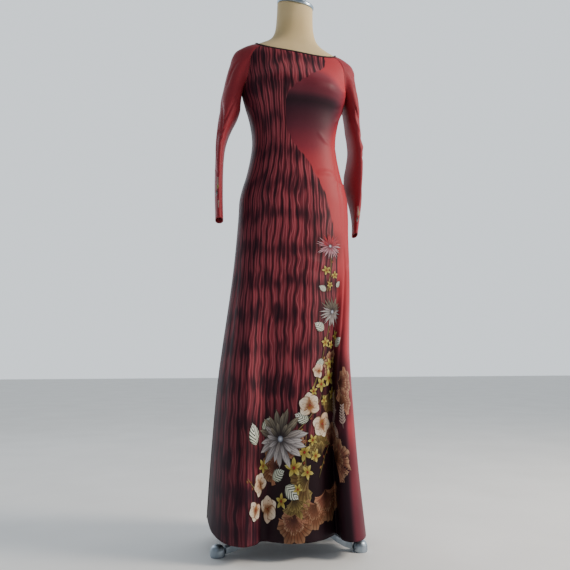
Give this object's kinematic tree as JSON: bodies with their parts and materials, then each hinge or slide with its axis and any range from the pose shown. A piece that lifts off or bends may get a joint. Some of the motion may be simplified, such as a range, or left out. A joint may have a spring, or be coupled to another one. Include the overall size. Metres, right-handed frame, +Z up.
{
  "type": "ao dai tunic on a dress form",
  "caption": "Floor-length fitted tunic with long raglan sleeves, bound boat neck and open side slits, worn by a limbless covered dress form on a pole and spread legs.",
  "frame": {"origin": "middle of the base of the whole part's box, on the floor", "axes": "+Z up; the front of the tunic faces -Y; the wearer's left side is +X"},
  "size_m": [0.442, 0.395, 1.5959],
  "materials": {
    "printed_satin": "stretch satin, deep red and near-black plum, printed",
    "red_satin": "stretch satin, deep red",
    "binding": "narrow near-black binding",
    "form_cover": "plain sand-coloured jersey over a smooth bust form",
    "cap_metal": "polished",
    "stand_metal": "polished"
  },
  "bodies": {
    "root": {"front_panel": "printed_satin", "back_panel": "printed_satin", "sleeve_right": "red_satin", "sleeve_left": "red_satin", "neck_binding": "binding", "dress_form": "form_cover", "neck_cap": "cap_metal", "pole": "stand_metal", "hub": "stand_metal", "leg_right": "stand_metal", "leg_left": "stand_metal", "leg_back": "stand_metal", "foot_right": "stand_metal", "foot_left": "stand_metal", "foot_back": "stand_metal"}
  },
  "joints": []
}
